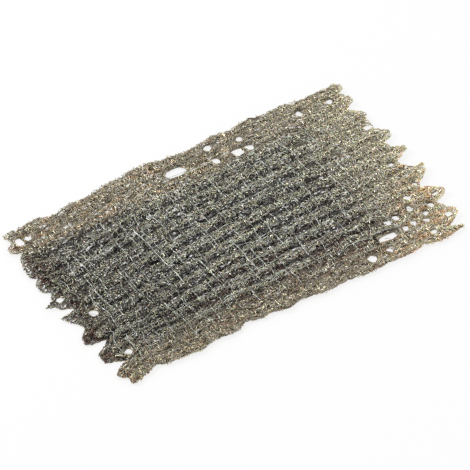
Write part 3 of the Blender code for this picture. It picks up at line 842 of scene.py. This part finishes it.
class SCOURING_OT_inner_turns(bpy.types.Operator):
    """Adds the slack wire that lies between the two layers, drawn wide and dark as painted shade
    between them
    """

    bl_idname = "scouring.inner_turns"
    bl_label = "Inner Turns"

    TURNS = 84                 # long thin rings, each lying along the cloth
    STEP = 0.9 * MM            # between two points of a turn
    END_GAP = 1.8 * MM         # from a turn to the end line
    EDGE_GAP = 0.008           # from a turn to a long edge, as a share of the width
    GAP = 0.8 * MM             # between the two legs of a turn
    REACH = 0.49               # from the middle to the outermost turns, as a share of the width
    EDGE_CROWDING = 0.06       # draws the turns together at the two long edges
    WANDER = 0.6 * MM
    LEVEL = 0.3                # how far turns lie from halfway between the layers, 1 in the wall
    LEVEL_SPREAD = 0.3
    PULL = -0.5                # draws the turns into the grooves
    WIDTH = 1.25 * MM          # five times the real wire's, as each stands for several wires
    THICKNESS = 0.2 * MM
    TWIST = math.radians(40)
    TORN = 4.0 * MM

    def execute(self, context):
        rng = np.random.default_rng(SEED + 50)
        points = 2 * int(CLOTH_LENGTH / self.STEP)
        share = np.arange(points)[None, :] / points
        there = 2 * np.abs(2 * share - 1) - 1
        along = there * (CLOTH_LENGTH / 2 - self.END_GAP)
        leg = np.where(share < 0.5, 1, -1) * self.GAP / 2 / CLOTH_WIDTH
        across = 0.5 + self.REACH * crowded(self.TURNS, self.EDGE_CROWDING)[:, None] + leg
        wander = crimps(rng, self.TURNS, points, evened=2) * self.WANDER
        along = along + wander[..., 0]
        across = across + wander[..., 1] / CLOTH_WIDTH
        across = np.clip(across, self.EDGE_GAP, 1 - self.EDGE_GAP)
        lower = np.arange(self.TURNS)[:, None] % 2
        around = np.where(lower, 2 - across, across)
        risen = crimps(rng, self.TURNS, points, evened=3)[..., 2]
        lines = lay(along, around, level=self.LEVEL + self.LEVEL_SPREAD * risen, pull=self.PULL)
        twist = crimps(rng, self.TURNS, points, evened=3)[..., 0] * self.TWIST
        for name, half in (("inner_turns_front", slice(0, self.TURNS // 2)),
                           ("inner_turns_back", slice(self.TURNS // 2, self.TURNS))):
            mesh = wire_mesh(name, lines[half], self.WIDTH, self.THICKNESS, twist[half],
                             closed=True, torn=self.TORN)
            add_piece(mesh, shaded_steel_wire)
        return {"FINISHED"}


class SCOURING_OT_cross_wires(bpy.types.Operator):
    """Adds the bright wires that lie over the ropes, most of them across"""

    bl_idname = "scouring.cross_wires"
    bl_label = "Cross Wires"

    IN_A_ROW = 3               # wires across, one behind another, at every rung
    STRANDS = 34               # wires along the ropes
    POINTS = 60                # of every wire
    STEP = 0.85 * MM           # between two points of a wire whose reach is 1
    ROW_REACH = (0.25, 0.85)   # shortest and longest wire across
    STRAND_REACH = (0.3, 1.3)  # and along
    ROW_FRONT = 0.08           # where across the cloth a row starts
    ROW_WIDTH = 0.78           # and how far it goes on, as shares of the cloth's width
    ROW_SHIFT = 0.1            # how far a wire may lie from its place in the row, likewise
    ROW_SPREAD = 0.6 * MM      # how far wires lie beside their row
    ROW_SLANT = 0.04
    STRAND_PLACES = (0.2, 0.8)  # within a rope
    SWAY = 0.14 * MM
    STRAND_SWAY = 0.45 * MM
    OUT = 0.25 * MM            # from the wall
    RISE = 0.1 * MM
    LOWEST = (1.08, 0.95, 1.12)  # heights of rows, strands and strongest, in cloth thicknesses
    WIDTH = 0.24 * MM          # as the real wire
    STRONGEST_WIDTH = 0.36 * MM  # wider than the real wire, or they would hardly show
    TORN = 2.6 * MM
    END_GAP = 6 * MM           # from a strand to the end line
    STRONGEST = (  # millimetres along the cloth, and shares of its width, at both ends of each
        (-45.9, -43.5, 0.83, 0.215), (-84.5, -83.6, 0.685, 0.45), (-83.6, -83.2, 0.345, 0.233),
        (-67.7, -67.1, 0.626, 0.449), (-36.8, -36.8, 0.583, 0.464), (-28.8, -28.4, 0.465, 0.235),
        (-15.6, -15.4, 0.64, 0.469), (-7.7, -7.4, 0.455, 0.234), (6.6, 6.2, 0.57, 0.47),
        (-51.0, -50.6, 0.457, 0.244), (-59.3, -59.3, 0.345, 0.22), (-76.9, -76.5, 0.792, 0.725),
        (20.8, 20.8, 0.395, 0.21))

    def execute(self, context):
        rng = np.random.default_rng(SEED + 100)
        rows = int(CLOTH_LENGTH / RUNG_PITCH)
        count = rows * self.IN_A_ROW
        row = np.repeat(np.arange(rows) + 0.5, self.IN_A_ROW)[:, None]
        place = np.tile((np.arange(self.IN_A_ROW) + 0.5) / self.IN_A_ROW, rows)[:, None]
        place = place + rng.uniform(-self.ROW_SHIFT, self.ROW_SHIFT, (count, 1))
        span = np.linspace(-0.5, 0.5, self.POINTS)[None, :]
        full = self.POINTS * self.STEP
        reach = span * rng.uniform(*self.ROW_REACH, (count, 1)) * full
        along = -CLOTH_LENGTH / 2 + row * RUNG_PITCH + rng.normal(0, self.ROW_SPREAD, (count, 1))
        strongest = len(self.STRONGEST)
        kinds = (count, self.STRANDS, strongest)
        wander = crimps(rng, sum(kinds), self.POINTS, evened=8)
        slant = rng.normal(0, self.ROW_SLANT, (count, 1)) * reach
        along = along + wander[:count, :, 0] * self.SWAY + slant
        around = self.ROW_FRONT + self.ROW_WIDTH * np.clip(place + reach / CLOTH_WIDTH, 0, 1)

        each = (self.STRANDS, 1)
        rope = rng.integers(1, ROPES - 1, each) + rng.uniform(*self.STRAND_PLACES, each)
        length = rng.uniform(*self.STRAND_REACH, each) * full
        middle = rng.uniform(-1, 1, each) * (CLOTH_LENGTH / 2 - self.END_GAP - length / 2)
        swayed = wander[count:-strongest, :, 1] * self.STRAND_SWAY / CLOTH_WIDTH

        start, end, start_around, end_around = np.array(self.STRONGEST).T[..., None]
        strong_along = (start + (end - start) * (span + 0.5)) * MM
        strong_along = strong_along + wander[-strongest:, :, 0] * self.SWAY
        strong_around = start_around + (end_around - start_around) * (span + 0.5)

        along = np.concatenate([along, middle + span * length, strong_along])
        around = np.concatenate([around, rope / ROPES + swayed, strong_around])
        lines = lay(along, around, out=self.OUT, pull=0)
        lowest = np.repeat(self.LOWEST, kinds)[:, None] * CLOTH_THICKNESS
        lines[..., 2] = np.maximum(lines[..., 2], lowest) + wander[..., 2] * self.RISE
        width = np.repeat((self.WIDTH, self.WIDTH, self.STRONGEST_WIDTH), kinds)[:, None]
        mesh = wire_mesh("cross_wires", lines, width, width, wander[..., 1],
                         closed=False, torn=self.TORN)
        add_piece(mesh, bright_steel_wire)
        return {"FINISHED"}


class SCOURING_OT_rolled_ends(bpy.types.Operator):
    """Adds the curls of wire along the two cut ends"""

    bl_idname = "scouring.rolled_ends"
    bl_label = "Rolled Ends"

    ROWS = (  # -1 the left end and 1 the right, 0 the upper layer and 1 the lower, rows of curls
        (-1, 1, 15), (-1, 0, 4), (1, 0, 6), (1, 1, 3))
    ROW_PITCH = 0.72 * MM
    ROW_SPAN = (0.004, 0.996)  # from one long edge to the other, as shares of the width
    TURNS = 104                # curls in a row
    TURN_POINTS = 7
    RIM_ROWS = 3               # outermost rows, which make the edge crisp
    RIM_PITCH = 0.35 * MM
    RIM_RADIUS = 0.25 * MM
    RIM_CRINKLE = 0.1 * MM
    RADIUS = 0.8 * MM
    UNEVEN = 0.3               # spread of the radius, as a share of it
    CRINKLE = 0.22 * MM
    SINK = 0.4 * MM            # how deep in the wall the middle of a curl lies
    WIDTH = 0.65 * MM          # wider than the real wire, as there are fewer curls
    THICKNESS = 0.2 * MM
    TORN = 2.4 * MM

    def execute(self, context):
        rng = np.random.default_rng(SEED + 150)
        rows = np.array([(end, layer, row) for end, layer, count in self.ROWS
                         for row in range(count)])
        end, layer, row = (column[:, None] for column in rows.T)
        points = self.TURNS * self.TURN_POINTS
        around = layer + np.linspace(*self.ROW_SPAN, points)[None, :]
        turn = 2 * np.pi * (np.arange(points)[None, :] / self.TURN_POINTS
                            + rng.uniform(0, 1, (len(rows), 1)))
        at_rim = row < self.RIM_ROWS
        radius = np.where(at_rim, self.RIM_RADIUS, self.RADIUS)
        radius = radius * (1 + self.UNEVEN * crimps(rng, len(rows), points, evened=8)[..., 0])
        inside = np.minimum(row, self.RIM_ROWS) * self.RIM_PITCH
        inside = inside + np.maximum(row - self.RIM_ROWS, 0) * self.ROW_PITCH + radius
        along = end * (CLOTH_LENGTH / 2 - inside) + radius * np.cos(turn)
        out = radius * np.sin(turn) - self.SINK
        loose = np.where(at_rim, self.RIM_CRINKLE, self.CRINKLE)[..., None]
        throw = crimps(rng, len(rows), points, evened=1) * loose
        lines = lay(along, around, out, throw=throw)
        twist = crimps(rng, len(rows), points, evened=2)[..., 0]
        mesh = wire_mesh("rolled_ends", lines, self.WIDTH, self.THICKNESS, twist,
                         closed=False, torn=self.TORN)
        add_piece(mesh, crimped_steel_wire)
        return {"FINISHED"}


OPERATORS = (SCOURING_OT_stage, SCOURING_OT_knit, SCOURING_OT_inner_turns,
             SCOURING_OT_cross_wires, SCOURING_OT_rolled_ends)
SETTINGS = {
    "scouring_knit": ScouringKnitSettings,
    "scouring_steel": ScouringSteelSettings,
    "scouring_stage": ScouringStageSettings,
}


class SCOURING_PT_panel(bpy.types.Panel):
    """Lists the settings and the steps of the scouring cloth."""

    bl_idname = "SCOURING_PT_panel"
    bl_label = "Scouring Cloth"
    bl_space_type = "VIEW_3D"
    bl_region_type = "UI"
    bl_category = "Scouring Cloth"

    def draw(self, context):
        for name, group in SETTINGS.items():
            box = self.layout.box()
            for setting in group.__annotations__:
                box.prop(getattr(context.scene, name), setting)
        for operator in OPERATORS:
            self.layout.operator(operator.bl_idname)


def register():
    for group in (*SETTINGS.values(), *OPERATORS, SCOURING_PT_panel):
        bpy.utils.register_class(group)
    for name, group in SETTINGS.items():
        setattr(bpy.types.Scene, name, bpy.props.PointerProperty(type=group))


def unregister():
    for name in SETTINGS:
        delattr(bpy.types.Scene, name)
    for group in (SCOURING_PT_panel, *reversed(OPERATORS), *SETTINGS.values()):
        bpy.utils.unregister_class(group)


def main():
    register()
    bpy.ops.scouring.stage()
    bpy.ops.scouring.knit()
    bpy.ops.scouring.inner_turns()
    bpy.ops.scouring.cross_wires()
    bpy.ops.scouring.rolled_ends()
    bpy.context.scene.cycles.use_denoising = False  # it would smear the wires into one another


if __name__ == "__main__":
    main()
